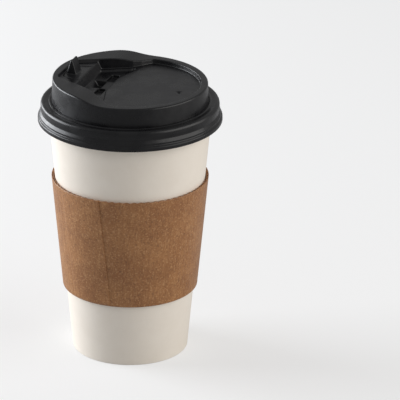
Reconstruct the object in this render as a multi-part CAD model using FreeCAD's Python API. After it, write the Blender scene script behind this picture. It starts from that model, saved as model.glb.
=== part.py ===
"""Paper hot-drink cup with a corrugated kraft sleeve and a press-on lid whose drinking tab folds back.

Millimetres, +Z up, origin at the centre of the cup's base. The drinking side of the lid points along
the mouth azimuth. Each piece is one solid in its own file.
"""
import FreeCAD, Part
import math
import os

V = FreeCAD.Vector

# Cup: one paper blank, lapped into a cone, rolled at the rim and turned in at the base
CUP_HEIGHT = 134.23
BASE_RADIUS = 29.7
CUP_TAPER = 0.0935
PAPER = 0.38
RIM_ROLL_RADIUS = 1.5
RIM_ROLL_TURN = 305.0
HEM_HEIGHT = 7.4
GLUE_LINE = 0.03
FOLD_ROUND = 0.4
SEAM_LAP = 7.0
SEAM_AZIMUTH = 72.0
SEAM_END_GAP = 1.2
BOTTOM_BOARD = 0.42
BOTTOM_SKIRT_FOOT = 1.6
BOTTOM_CORNER = 1.0

# Sleeve: single-face corrugated kraft board, glued into a ring that rests on the taper
SLEEVE_FOOT = 34.6
SLEEVE_HEIGHT = 59.6
SLEEVE_SLACK = 0.42
LINER = 0.34
FLUTE_DEPTH = 1.05
MEDIUM = 0.24
FLUTE_COUNT = 68
FLUTE_CREST_SHARE = 0.34
FLAP_WIDTH = 23.0
FLAP_BOARD = 0.55
FLAP_AZIMUTH = 248.0
FLAP_RISE = 0.9

# Lid: one thermoformed sheet
SHEET = 0.42
LIP_RADIUS = 47.1
LIP_DROP = 10.2
LIP_BAND = 1.9
NECK_RADIUS = 46.15
BEAD_RADIUS = 46.35
BEAD_DROP = 6.5
SNAP_CLEARANCE = 0.28
SNAP_DROP = 4.9
LEDGE_SWELL = 0.15
LEDGE_DROP = 3.0
SEAT_CLEARANCE = 0.35
SHOULDER_ROUND = 1.7
PRESS_ROUND = 0.7
DOME_FOOT_RADIUS = 40.1
FOOT_RING_WIDTH = 1.1
FOOT_RING_RISE = 0.4
LEDGE_DISH = 0.25
DOME_DRAFT = 3.0
RIM_ROUND = 0.9

# Lid top, in distances from its centre towards the mouth
MOUTH_AZIMUTH = 160.0
BACK_RIM_RISE = 9.9
MOUTH_RIM_RISE = 2.65
RIM_CLIMB_START = 0.0
RIM_CLIMB_END = 20.0
PLATEAU_DEPTH = 2.33
PLATEAU_RADIUS = 34.3
PLATEAU_SHIFT = 1.8
PLATEAU_EDGE = 3.7
FAN_MOUTH_END = 35.0
FAN_MOUTH_HALF_WIDTH = 12.0
FAN_KNEE = 8.0
FAN_KNEE_HALF_WIDTH = 26.0
FAN_TIP = 4.0
FAN_TIP_HALF_WIDTH = 29.3
FAN_BACK_HALF_WIDTH = 34.0
CHANNEL_DEPTH = 1.48
WELL_DEPTH = 5.0
STEP_AT = 9.8
STEP_SLOPE_DROP = 0.5
WELL_FLOOR_START = 21.9
WELL_STEP_HALF_WIDTH = 9.0
WELL_TIP = 5.0
WELL_BRIM = 2.2
FLOOR_ROUND = 0.5

# Fold-back tab and the lock pocket that takes its stud
HINGE_AT = 24.0
HINGE_LIFT = 0.06
TAB_END = 34.2
TAB_ROOT_HALF_WIDTH = 10.2
TAB_END_HALF_WIDTH = 7.6
TAB_CORNER = 3.0
SLIT = 0.25
STUD_AT = 30.5
STUD_LENGTH = 7.6
STUD_FOOT = 5.4
STUD_RIDGE = 0.9
STUD_HEIGHT = 7.4
POCKET_PLAY = 0.55
POCKET_DRAFT = 0.6
FINGER_WELL_LENGTH = 10.0
FINGER_WELL_WIDTH = 4.2
FINGER_WELL_DEPTH = 1.7
FINGER_WELL_OFFSET = 10.3
VENT_AT = 26.5
VENT_SIDE = 0.5
VENT_RADIUS = 0.6
VENT_DIMPLE_RADIUS = 1.6
VENT_DIMPLE_DEPTH = 0.45

# Greatest turn between neighbouring chords of a rounded profile
CHORD_TURN = 36.0

# Levels and radii that follow from the sizes above
LEDGE_TOP = CUP_HEIGHT + SEAT_CLEARANCE + SHEET
BACK_RIM = LEDGE_TOP + BACK_RIM_RISE
MOUTH_RIM = BACK_RIM + MOUTH_RIM_RISE
PLATEAU = BACK_RIM - PLATEAU_DEPTH
CHANNEL = MOUTH_RIM - CHANNEL_DEPTH
WELL_FLOOR = CHANNEL - WELL_DEPTH
ROLL_CENTRE_HEIGHT = CUP_HEIGHT - RIM_ROLL_RADIUS
WALL_LEAN = math.atan(CUP_TAPER)


def wall_radius(z, depth=0.0):
    """Radius of the cup wall's outer face at a height, less a depth into the board."""
    return BASE_RADIUS + CUP_TAPER * z - depth


ROLL_CENTRE_RADIUS = (wall_radius(ROLL_CENTRE_HEIGHT, PAPER) + RIM_ROLL_RADIUS / math.cos(WALL_LEAN))
RIM_RADIUS = ROLL_CENTRE_RADIUS + RIM_ROLL_RADIUS
SNAP_RADIUS = RIM_RADIUS + SNAP_CLEARANCE + SHEET
LEDGE_RADIUS = SNAP_RADIUS + LEDGE_SWELL


def rz(radius, z):
    """Point of a half section."""
    return V(radius, 0, z)


def polar(centre, radius, degrees):
    """Point of a half section at an angle about a centre."""
    a = math.radians(degrees)
    return rz(centre.x + radius * math.cos(a), centre.z + radius * math.sin(a))


def line(a, b):
    return Part.LineSegment(a, b).toShape()


def arc(a, through, b):
    return Part.Arc(a, through, b).toShape()


def bend(centre, radius, start, end):
    """Points along a round stretch of a half section, near enough together to turn gently."""
    steps = max(1, math.ceil(abs(end - start) / CHORD_TURN))
    return [polar(centre, radius, start + (end - start) * i / steps) for i in range(steps + 1)]


def rounded(outline, inset=0.0):
    """Points of a closed outline, each corner rounded by its own radius, moved in by an inset."""
    points = []
    for i, (corner, radius) in enumerate(outline):
        back = (outline[i - 1][0] - corner).normalize()
        ahead = (outline[(i + 1) % len(outline)][0] - corner).normalize()
        half = back.getAngle(ahead) / 2
        turn = math.copysign(1, back.cross(ahead).y)
        bisector = (back + ahead).normalize()
        corner = corner + bisector * (turn * inset / math.sin(half))
        radius = radius - turn * inset if radius else 0
        if radius <= 0:
            points.append(corner)
            continue
        centre = corner + bisector * (radius / math.sin(half))
        middle = corner - centre
        facing = math.degrees(math.atan2(middle.z, middle.x))
        side = math.copysign(90 - math.degrees(half), -turn)
        points += bend(centre, radius, facing + side, facing - side)
    return points


def polygon(points):
    return Part.makePolygon(points + [points[0]])


def revolve(points):
    """Turn a closed half section about the Z axis."""
    solid = Part.Face(polygon(points)).revolve(V(0, 0, 0), V(0, 0, 1), 360)
    return solid if solid.Volume > 0 else solid.reversed()


def sector(shape, start, sweep, radius, low, high):
    """Keep the part of a shape inside a wedge about the Z axis."""
    wedge = Part.makeCylinder(radius, high - low, V(0, 0, low), V(0, 0, 1), sweep)
    wedge.rotate(V(0, 0, 0), V(0, 0, 1), start)
    return shape.common(wedge)


def at_mouth(shape):
    """Turn a shape built with its mouth side along +X to the mouth azimuth."""
    shape = shape.copy()
    shape.rotate(V(0, 0, 0), V(0, 0, 1), MOUTH_AZIMUTH)
    return shape


def cone_ring(inner_depth, outer_depth, low, high):
    """Conical ring parallel to the cup wall, between two depths below its outer face."""
    corners = [rz(wall_radius(low, inner_depth), low), rz(wall_radius(low, outer_depth), low),
               rz(wall_radius(high, outer_depth), high), rz(wall_radius(high, inner_depth), high)]
    return revolve(corners)


def cup_wall():
    """Wall, rolled rim and turned-in base hem as one strip, thickened where the blank laps."""
    hem_width = 2 * PAPER + BOTTOM_BOARD + 2 * GLUE_LINE
    fold, hem_top = FOLD_ROUND, HEM_HEIGHT
    roll = rz(ROLL_CENTRE_RADIUS, ROLL_CENTRE_HEIGHT)
    start = 180 - math.degrees(WALL_LEAN)
    end = start - RIM_ROLL_TURN
    outer_bend = rz(wall_radius(fold, fold), fold)
    inner_bend = rz(wall_radius(fold, hem_width - fold), fold)
    hem = [rz(wall_radius(hem_top, hem_width), hem_top),
           rz(wall_radius(hem_top, hem_width - PAPER), hem_top),
           rz(wall_radius(PAPER, hem_width - PAPER), PAPER), rz(wall_radius(PAPER, PAPER), PAPER)]
    foot = bend(outer_bend, fold, 0, -90) + bend(inner_bend, fold, -90, -180)
    curl = (bend(roll, RIM_ROLL_RADIUS, start, end)
            + bend(roll, RIM_ROLL_RADIUS - PAPER, end, start))
    wall = revolve(foot + hem + curl)
    low = fold + SEAM_END_GAP
    high = ROLL_CENTRE_HEIGHT - RIM_ROLL_RADIUS - SEAM_END_GAP
    lap = cone_ring(PAPER / 2, -PAPER, low, high)
    sweep = math.degrees(SEAM_LAP / wall_radius(CUP_HEIGHT / 2))
    lap = sector(lap, SEAM_AZIMUTH, sweep, 2 * RIM_RADIUS, 0, CUP_HEIGHT)
    return wall.fuse(lap).removeSplitter()


def cup_bottom():
    """Bottom disc with its skirt turned down into the wall's hem."""
    face = PAPER + GLUE_LINE
    low = BOTTOM_SKIRT_FOOT
    under = HEM_HEIGHT + BOTTOM_CORNER - BOTTOM_BOARD
    top = under + BOTTOM_BOARD
    knee = top - BOTTOM_CORNER
    centre = rz(wall_radius(knee, face) - BOTTOM_CORNER, knee)
    outer = bend(centre, BOTTOM_CORNER, 90, 0)
    inner = bend(centre, BOTTOM_CORNER - BOTTOM_BOARD, 0, 90)
    skirt = [rz(wall_radius(low, face), low), rz(wall_radius(low, face + BOTTOM_BOARD), low)]
    return revolve([rz(0, under), rz(0, top)] + outer + skirt + inner)


def ring_wire(points, z, depth):
    """Closed wire about the axis from (angle, depth) pairs, depths measured out from the wall's face."""
    corners = []
    for degrees, out in points:
        a = math.radians(degrees)
        radius = wall_radius(z) + depth + out
        corners.append(V(radius * math.cos(a), radius * math.sin(a), z))
    return polygon(corners)


def sleeve_loft(points, low, high):
    """Ruled solid between the same outline at two heights of the taper."""
    foot = ring_wire(points, low, SLEEVE_SLACK)
    head = ring_wire(points, high, SLEEVE_SLACK)
    return Part.makeLoft([foot, head], True, True)


def sleeve():
    """Smooth liner outside, fluted medium inside, and the glued flap laid over the joint."""
    low, high = SLEEVE_FOOT, SLEEVE_FOOT + SLEEVE_HEIGHT
    pitch = 360.0 / FLUTE_COUNT
    crest = FLUTE_CREST_SHARE * pitch / 2
    over = 0.5
    trough = FLUTE_DEPTH - MEDIUM
    bore, channels = [], []
    for i in range(FLUTE_COUNT):
        a = i * pitch
        bore += [(a - crest, 0.0), (a, -0.0), (a + crest, 0.0),
                 (a + pitch / 2 - crest / 2, trough), (a + pitch / 2 + crest / 2, trough)]
        half = pitch / 2 - crest / 2
        channels.append([(a - crest, MEDIUM), (a + crest, MEDIUM), (a + half - crest / 2, FLUTE_DEPTH),
                         (a - half + crest / 2, FLUTE_DEPTH)])
    inner = -(SLEEVE_SLACK + FLUTE_DEPTH + LINER)
    ring = cone_ring(-SLEEVE_SLACK / 2, inner, low, high)
    ring = ring.cut(sleeve_loft(bore, low - over, high + over))
    ring = ring.cut([sleeve_loft(c, low - over, high + over) for c in channels])
    flap = cone_ring(inner + LINER / 2, inner - FLAP_BOARD, low + FLAP_RISE, high)
    sweep = math.degrees(FLAP_WIDTH / wall_radius(low + SLEEVE_HEIGHT / 2))
    flap = sector(flap, FLAP_AZIMUTH - sweep, sweep, 2 * RIM_RADIUS, low, high)
    return ring.fuse(flap).removeSplitter()


def half_plane(low, high, width):
    """Face on the outer side of the axis, to clip a half section."""
    return Part.Face(polygon([rz(0, low), rz(width, low), rz(width, high), rz(0, high)]))


def lid_turning(inset):
    """Turned form of the lid up past its rim: its outer face, or the inner face one sheet further in."""
    top = LEDGE_TOP
    foot = top - LIP_DROP
    past = 3 * LIP_BAND
    head = MOUTH_RIM + past
    dome_head = DOME_FOOT_RADIUS - math.tan(math.radians(DOME_DRAFT)) * (head - top)
    ring_out = DOME_FOOT_RADIUS + FOOT_RING_WIDTH
    dish, ring_top = top - LEDGE_DISH, top - LEDGE_DISH + FOOT_RING_RISE
    press, soft = PRESS_ROUND, PRESS_ROUND / 2
    outline = [
        (rz(LIP_RADIUS, foot - past), 0), (rz(LIP_RADIUS, foot + LIP_BAND), press),
        (rz(NECK_RADIUS, top - BEAD_DROP - LIP_BAND / 2), press), (rz(BEAD_RADIUS, top - BEAD_DROP), press),
        (rz(SNAP_RADIUS, top - SNAP_DROP), press), (rz(LEDGE_RADIUS, top - LEDGE_DROP), press),
        (rz(LEDGE_RADIUS, top), SHOULDER_ROUND), (rz(LEDGE_RADIUS - SHOULDER_ROUND - soft, top), soft),
        (rz(ring_out + FOOT_RING_RISE, dish), soft), (rz(ring_out, ring_top), soft),
        (rz(DOME_FOOT_RADIUS + FOOT_RING_RISE, ring_top), soft), (rz(DOME_FOOT_RADIUS, dish), 0),
        (rz(dome_head, head), 0), (rz(-past, head), 0), (rz(-past, foot - past), 0),
    ]
    face = Part.Face(polygon(rounded(outline, inset)))
    low = foot if not inset else foot - past / 2
    face = face.common(half_plane(low, head - 2 * inset, 2 * LIP_RADIUS))
    solid = face.revolve(V(0, 0, 0), V(0, 0, 1), 360).Solids[0]
    return solid if solid.Volume > 0 else solid.reversed()


def side_prism(edges_or_points):
    """Prism across the lid from a closed profile in the plane of the mouth direction and Z."""
    reach = 2 * LIP_RADIUS
    wire = Part.Wire(edges_or_points)
    wire.translate(V(0, -reach / 2, 0))
    return Part.Face(wire).extrude(V(0, reach, 0))


def rim_climb(inset):
    """Everything under the rim's surface, which climbs in an S from the back to the mouth side."""
    run, rise = RIM_CLIMB_END - RIM_CLIMB_START, MOUTH_RIM - BACK_RIM
    bend = (run * run + rise * rise) / (4 * rise)
    low = rz(RIM_CLIMB_START, BACK_RIM + bend)
    high = rz(RIM_CLIMB_END, MOUTH_RIM - bend)
    turn = math.degrees(2 * math.atan(rise / run))
    hollow, crown = bend + inset, bend - inset
    joint = polar(low, hollow, turn - 90)
    back, floor = -2 * LIP_RADIUS, 0.0
    points = [rz(RIM_CLIMB_END, MOUTH_RIM - inset), rz(-back, MOUTH_RIM - inset), rz(-back, floor),
              rz(back, floor), rz(back, BACK_RIM - inset), rz(RIM_CLIMB_START, BACK_RIM - inset)]
    edges = [line(a, b) for a, b in zip(points, points[1:])]
    edges.append(arc(points[-1], polar(low, hollow, turn / 2 - 90), joint))
    edges.append(arc(joint, polar(high, crown, turn / 2 + 90), points[0]))
    return side_prism(edges)


def plan_prism(half, low, high, inset):
    """Upright prism from one side's corners of a plan that is the same on both sides."""
    corners = [V(x, y, low) for x, y in half] + [V(x, -y, low) for x, y in reversed(half)]
    face = Part.Face(polygon(corners))
    if inset:
        face = face.makeOffset2D(inset, 2)
    return face.extrude(V(0, 0, high - low))


def fan_half_width(x):
    """Half width of the recess between the knee and the mouth end."""
    share = (x - FAN_KNEE) / (FAN_MOUTH_END - FAN_KNEE)
    return FAN_KNEE_HALF_WIDTH + (FAN_MOUTH_HALF_WIDTH - FAN_KNEE_HALF_WIDTH) * share


def recess_plan(inset):
    """Outline of the sunk area seen from above: the round plateau and the fan towards the mouth."""
    low, high = PLATEAU - MOUTH_RIM_RISE * 3, MOUTH_RIM + MOUTH_RIM_RISE
    disc = Part.makeCylinder(PLATEAU_RADIUS + inset, high - low, V(-PLATEAU_SHIFT, 0, low))
    keep = Part.makeBox(2 * LIP_RADIUS, 2 * LIP_RADIUS, high - low,
                        V(inset - 2 * LIP_RADIUS, -LIP_RADIUS, low))
    half = [(FAN_MOUTH_END, FAN_MOUTH_HALF_WIDTH), (FAN_KNEE, FAN_KNEE_HALF_WIDTH),
            (FAN_TIP, FAN_TIP_HALF_WIDTH), (0, FAN_BACK_HALF_WIDTH)]
    return disc.common(keep).fuse(plan_prism(half, low, high, inset))


def across(points, inset):
    """Everything above a profile in the plane of the mouth direction and Z."""
    reach, sky = 2 * LIP_RADIUS, MOUTH_RIM + 2 * MOUTH_RIM_RISE
    face = Part.Face(polygon(points + [rz(reach, points[-1].z), rz(reach, sky), rz(-reach, sky),
                                       rz(-reach, points[0].z)]))
    if inset:
        face = face.makeOffset2D(inset, 2)
    prism = face.extrude(V(0, 2 * reach, 0))
    prism.translate(V(0, -reach, 0))
    return prism


def recess(inset):
    """Sunk area: plateau, slope and brim of the well, and the channel that the tab lies in."""
    brim = PLATEAU - STEP_SLOPE_DROP
    run = (HINGE_AT - SLIT / 2 - WELL_FLOOR_START) * (brim - WELL_FLOOR) / WELL_DEPTH
    points = [rz(PLATEAU_EDGE, PLATEAU), rz(STEP_AT, brim), rz(WELL_FLOOR_START + run, brim),
              rz(HINGE_AT - SLIT / 2, CHANNEL)]
    return across(points, inset).common(recess_plan(inset))


def well(inset):
    """Well in front of the plateau, with a brim left round it and its step drawn back at both ends."""
    points = [rz(WELL_FLOOR_START, WELL_FLOOR), rz(HINGE_AT - SLIT / 2, CHANNEL)]
    brim_out = [(x, fan_half_width(x) - WELL_BRIM) for x in (HINGE_AT, FAN_KNEE)]
    half = brim_out + [(WELL_TIP, fan_half_width(FAN_KNEE)), (STEP_AT, WELL_STEP_HALF_WIDTH)]
    return across(points, inset).common(plan_prism(half, WELL_FLOOR - WELL_DEPTH, PLATEAU, inset))


def box_taper(x, y, top, bottom, top_size, bottom_size):
    """Four-sided taper between two levels, each with its size along and across the mouth direction."""
    def ring(size, z):
        a, b = size[0] / 2, size[1] / 2
        return polygon([V(x - a, y - b, z), V(x + a, y - b, z), V(x + a, y + b, z), V(x - a, y + b, z)])
    return Part.makeLoft([ring(bottom_size, bottom), ring(top_size, top)], True, True)


def stud(inset):
    """Gable-shaped stud that stands on the tab, or the hollow under it."""
    lean = (STUD_FOOT - STUD_RIDGE) / 2 / STUD_HEIGHT
    drop = 1.5 * inset
    side = inset * math.hypot(1, lean)
    below = 2 * inset

    def width(height):
        return STUD_RIDGE + 2 * lean * (STUD_HEIGHT - height) - 2 * side
    length = STUD_LENGTH - 2 * inset
    return box_taper(STUD_AT, 0, CHANNEL + STUD_HEIGHT - drop, CHANNEL - below,
                     (width(STUD_HEIGHT - drop), length), (width(-below), length))


def lock_pocket(inset):
    """Pocket in the well's floor that takes the stud when the tab is folded back."""
    tip = CHANNEL + 2 * HINGE_LIFT - STUD_HEIGHT
    play = 2 * (POCKET_PLAY + inset)
    over = FLOOR_ROUND
    return box_taper(2 * HINGE_AT - STUD_AT, 0, WELL_FLOOR + over, tip - POCKET_PLAY - inset,
                     (STUD_FOOT + play, STUD_LENGTH + play + 2 * POCKET_DRAFT),
                     (STUD_RIDGE + play + 2 * POCKET_DRAFT, STUD_LENGTH + play))


def finger_well(inset, side):
    """Shallow well beside the step, where a fingertip gets under the folded tab."""
    grow, lean = 2 * inset, 2 * FINGER_WELL_DEPTH * math.tan(math.radians(DOME_DRAFT))
    over = FLOOR_ROUND
    x = STEP_AT + 2 * FLOOR_ROUND + FINGER_WELL_WIDTH / 2
    return box_taper(x, side * FINGER_WELL_OFFSET, WELL_FLOOR + over, WELL_FLOOR - FINGER_WELL_DEPTH - inset,
                     (FINGER_WELL_WIDTH + grow, FINGER_WELL_LENGTH + grow),
                     (FINGER_WELL_WIDTH + grow - lean, FINGER_WELL_LENGTH + grow - lean))


def vent_dimple(inset):
    """Cone-shaped dimple in the plateau round the air vent."""
    return Part.makeCone(VENT_RADIUS + inset, VENT_DIMPLE_RADIUS + inset, VENT_DIMPLE_DEPTH + inset,
                         V(-VENT_AT, VENT_SIDE, PLATEAU - VENT_DIMPLE_DEPTH - inset))


def round_rim(solid, radius):
    """Round the edge between the dome wall and the rim's surface."""
    reach = DOME_FOOT_RADIUS - 3 * SHEET
    picked = []
    for edge in solid.Edges:
        middle = edge.valueAt((edge.FirstParameter + edge.LastParameter) / 2)
        if middle.z > BACK_RIM - 3 * SHEET and math.hypot(middle.x, middle.y) > reach - 2:
            picked.append(edge)
    return solid.makeFillet(radius, picked)


def lid_form(inset):
    """Solid inside the lid's outer face, or inside its inner face when inset by the sheet."""
    form = round_rim(lid_turning(inset).common(rim_climb(inset)), RIM_ROUND - inset)
    cuts = [recess(inset), well(inset), lock_pocket(inset), finger_well(inset, 1), finger_well(inset, -1),
            vent_dimple(inset)]
    return form.cut(cuts).fuse(stud(inset))


def tab_outline(grow):
    """Prism round the tab: its root on the hinge line, tapering to a rounded end."""
    root = HINGE_AT if grow else HINGE_AT + SLIT
    a, b = TAB_ROOT_HALF_WIDTH + grow, TAB_END_HALF_WIDTH + grow
    end = TAB_END + grow
    low, high = CHANNEL - 3 * SHEET, CHANNEL + STUD_HEIGHT + SHEET
    wire = polygon([V(root, -a, low), V(end, -b, low), V(end, b, low), V(root, a, low)])
    prism = Part.Face(wire).extrude(V(0, 0, high - low))
    corners = [e for e in prism.Edges if abs(e.tangentAt(e.FirstParameter).z) > 0.9
               and e.valueAt(e.FirstParameter).x > root + 1]
    return prism.makeFillet(TAB_CORNER + grow, corners)


def lid_and_tab():
    """One formed sheet, parted along the slit into the lid and its fold-back tab."""
    shell = lid_form(0).cut(lid_form(SHEET))
    vent = Part.makeCylinder(VENT_RADIUS, 4 * SHEET, V(-VENT_AT, VENT_SIDE, PLATEAU - 3 * SHEET))
    shell = shell.cut(vent)
    return shell.cut(tab_outline(SLIT)), shell.common(tab_outline(0))


def save(name, shape):
    """Write one node and say what it is made of."""
    solids = shape.Solids
    if len(solids) != 1:
        raise ValueError(f"{name} came out as {len(solids)} solids")
    solids[0].exportStep(f"parts/{name}.step")
    box = solids[0].BoundBox
    print(f"{name}: {solids[0].Volume:.1f} mm3, z {box.ZMin:.2f} to {box.ZMax:.2f}")


def main():
    os.makedirs("parts", exist_ok=True)
    lid, tab = lid_and_tab()
    save("cup_wall", cup_wall())
    save("cup_bottom", cup_bottom())
    save("sleeve", sleeve())
    save("lid", at_mouth(lid))
    save("lid_tab", at_mouth(tab))
    print(f"rim radius {RIM_RADIUS:.3f}, ledge top {LEDGE_TOP:.2f}, hinge level {CHANNEL + HINGE_LIFT:.2f}")


if __name__ == "__main__":
    main()
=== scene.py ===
"""Paper coffee cup with a corrugated kraft sleeve and a black lid whose drinking tab folds back.

Sizes are in millimetres in the classes below and are turned into metres when a mesh is made. Z is up, the
origin is the centre of the cup's base, and the drinking side of the lid points along the mouth azimuth.
"""

import logging
import math
from dataclasses import dataclass, field
from enum import Enum
from typing import Any, Callable, Sequence

import bmesh
import bpy
import numpy as np
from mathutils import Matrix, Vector
from mathutils.geometry import delaunay_2d_cdt


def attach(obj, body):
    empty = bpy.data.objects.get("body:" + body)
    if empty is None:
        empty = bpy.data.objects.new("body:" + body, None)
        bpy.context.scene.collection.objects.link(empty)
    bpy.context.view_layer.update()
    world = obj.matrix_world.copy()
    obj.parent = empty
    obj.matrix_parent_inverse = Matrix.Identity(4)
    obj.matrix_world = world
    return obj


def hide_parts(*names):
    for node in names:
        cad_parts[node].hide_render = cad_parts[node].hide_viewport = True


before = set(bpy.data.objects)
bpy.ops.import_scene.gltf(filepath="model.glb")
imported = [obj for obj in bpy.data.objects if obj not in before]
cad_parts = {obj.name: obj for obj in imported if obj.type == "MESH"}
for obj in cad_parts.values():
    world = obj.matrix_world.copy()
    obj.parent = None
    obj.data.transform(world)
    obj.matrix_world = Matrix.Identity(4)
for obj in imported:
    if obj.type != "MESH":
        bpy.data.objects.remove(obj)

log = logging.getLogger("coffee_cup")
MM = 0.001
# Smallest corner radius, length and number of the rays from the lid's centre, chords in the corners of
# profiles and of outlines
SHARPEST = 0.02
REACH = 50.0
RAYS = 720
RUN_STEPS = 5
RING_STEPS = 6
Array = np.ndarray
Pair = tuple[float, float]
Colour = tuple[float, float, float]
Material = bpy.types.Material
Node = bpy.types.Node
Object = bpy.types.Object
Socket = bpy.types.NodeSocket
Tree = bpy.types.NodeTree
Outline = list[tuple[float, float, float]]


class Slot(Enum):
    """Material slots of the part's record."""

    PAPER = "white_paper"
    KRAFT = "kraft_board"
    PLASTIC = "black_sheet"


class Body(Enum):
    """Bodies that the pieces ride on."""

    CUP = "cup"
    LID = "lid"
    TAB = "tab"


# Profiles and plans


def bow(centre: Pair, radius: float, start: float, end: float, steps: int) -> Array:
    """Points along a round stretch between two angles in degrees, one more than it has steps."""
    a = np.radians(np.linspace(start, end, steps + 1))
    return np.stack([centre[0] + radius * np.cos(a), centre[1] + radius * np.sin(a)], axis=1)


def full_turn(count: int) -> Array:
    """Azimuths once round, in radians."""
    return np.linspace(0, 2 * math.pi, count, endpoint=False)


def turn_shares(angles: Array) -> Array:
    """Texture places of azimuths that go once round, with the first one again at the end."""
    return np.concatenate([angles, angles[:1] + 2 * math.pi]) / (2 * math.pi)


def corner_arc(before: Sequence[float], here: Sequence[float], after: Sequence[float], grow: float,
               steps: int) -> Array:
    """Arc that rounds one corner of an outline.

    Args:
        before: The corner before it.
        here: The corner as (across, up, radius).
        after: The corner after it.
        grow: Distance that the outline is moved outwards.
        steps: Number of chords.

    Returns:
        The points.
    """
    corner = np.array(here[:2])
    back = np.array(before[:2]) - corner
    ahead = np.array(after[:2]) - corner
    back /= np.linalg.norm(back)
    ahead /= np.linalg.norm(ahead)
    half = math.acos(float(np.clip(back @ ahead, -1, 1))) / 2
    convex = math.copysign(1, ahead[0] * back[1] - ahead[1] * back[0])
    bisector = (back + ahead) / np.linalg.norm(back + ahead)
    radius = max(here[2] + convex * grow, SHARPEST)
    centre = corner + bisector * (radius - convex * grow) / math.sin(half)
    facing = math.degrees(math.atan2(-bisector[1], -bisector[0]))
    turn = -convex * (90 - math.degrees(half))
    return bow((centre[0], centre[1]), radius, facing + turn, facing - turn, steps)


def rounded_run(outline: Outline) -> Array:
    """Open run of points whose inner corners are rounded.

    Args:
        outline: Corners as (across, up, radius).

    Returns:
        Array of points from the first corner to the last.
    """
    points = [np.array(outline[0][:2])]
    for before, here, after in zip(outline, outline[1:], outline[2:]):
        if here[2] > 0:
            points.extend(corner_arc(before, here, after, 0.0, RUN_STEPS))
        else:
            points.append(np.array(here[:2]))
    points.append(np.array(outline[-1][:2]))
    return np.array(points)


def rounded_ring(outline: Outline, grow: float = 0.0, spacing: float = 0.8,
                 steps: int = RING_STEPS) -> Array:
    """Closed outline with rounded corners, moved outwards and given points along its sides.

    Args:
        outline: Corners as (across, up, radius), anticlockwise.
        grow: Distance that the outline is moved outwards.
        spacing: Greatest distance between points on a straight side.
        steps: Chords in each rounded corner.

    Returns:
        The points.
    """
    following = outline[1:] + outline[:1]
    arcs = [corner_arc(before, here, after, grow, steps)
            for before, here, after in zip(outline[-1:] + outline[:-1], outline, following)]
    points: list[Array] = []
    for here, after, arc, ahead in zip(outline, following, arcs, arcs[1:] + arcs[:1]):
        points.extend(arc[:-1])
        start, end = arc[-1], ahead[0]
        count = max(1, round(math.dist(here[:2], after[:2]) / spacing))
        points.extend(start + (end - start) * k / count for k in range(count))
    return np.array(points)


def soft_box(centre: Pair, half: Pair, radius: float) -> Array:
    """Rectangle with rounded corners seen from above, anticlockwise.

    Args:
        centre: Centre of the rectangle.
        half: Half sizes along and across the mouth direction.
        radius: Corner radius.

    Returns:
        The points.
    """
    radius = min(radius, half[0] * 0.98, half[1] * 0.98)
    points = []
    for k, (sx, sy) in enumerate(((1, 1), (-1, 1), (-1, -1), (1, -1))):
        x = centre[0] + sx * (half[0] - radius)
        y = centre[1] + sy * (half[1] - radius)
        points.extend(bow((x, y), radius, 90 * k, 90 * k + 90, RING_STEPS))
    return np.array(points)


def pressed_bends(radius: float, steep: float, steps: int) -> list[tuple[float, float, bool]]:
    """Both bends of a pressed wall, from its brink down to its foot.

    Args:
        radius: Radius of the bends.
        steep: Steepest angle in degrees.
        steps: Points in each bend.

    Returns:
        How far outside the wall each point lies, how far from its level, and whether it is at the brink.
    """
    turn = np.radians(np.linspace(0, steep, steps))
    bend = [(radius * (1 - math.sin(a)), radius * (1 - math.cos(a))) for a in turn]
    return [(out, drop, True) for out, drop in bend] + [(-out, drop, False) for out, drop in reversed(bend)]


def lift(plan: Array, height: float | Array) -> Array:
    """Points of a plan at one height or at their own heights."""
    return np.column_stack([plan, np.broadcast_to(height, len(plan))])


def ring_row(radius: float | Array, angles: Array, height: float | Array) -> Array:
    """Points round Z at the given radii, azimuths and heights."""
    return lift(np.stack([radius * np.cos(angles), radius * np.sin(angles)], 1), height)


def turned(section: Array, angles: Array) -> Array:
    """Rows of points from a half section, given as (radius, height), turned about Z."""
    return np.array([ring_row(radius, angles, height) for radius, height in section])


def edged_levels(count: int) -> Array:
    """Shares from 0 to 1 that lie close together at both ends."""
    return np.concatenate([[0, 0.004], np.linspace(0.012, 0.988, count), [0.996, 1]])


def signed_distance(points: Array, ring: Array) -> Array:
    """Distance from a closed outline, negative inside it.

    Args:
        points: Points to measure.
        ring: Corners of the outline.

    Returns:
        One distance per point.
    """
    a = ring
    b = np.roll(ring, -1, axis=0)
    run = b - a
    best = np.full(len(points), np.inf)
    inside = np.zeros(len(points), dtype=bool)
    for block in range(0, len(points), 2000):
        p = points[block:block + 2000, None, :]
        share = np.clip(((p - a) * run).sum(-1) / (run * run).sum(-1), 0, 1)
        gap = np.linalg.norm(p - (a + share[..., None] * run), axis=-1)
        best[block:block + 2000] = gap.min(axis=1)
        above = (a[:, 1] > p[..., 1]) != (b[:, 1] > p[..., 1])
        with np.errstate(divide="ignore", invalid="ignore"):
            cross = a[:, 0] + (p[..., 1] - a[:, 1]) * run[:, 0] / run[:, 1]
        inside[block:block + 2000] = (above & (p[..., 0] < cross)).sum(axis=1) % 2 == 1
    return np.where(inside, -best, best)


def clear_of(points: Array, edge: Array, holes: Sequence[Array], margin: float) -> Array:
    """Tell which points lie within an outline and outside its holes by more than a margin."""
    outside = [signed_distance(points, hole) > margin for hole in holes]
    return np.all([signed_distance(points, edge) < -margin, *outside], axis=0)


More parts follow.
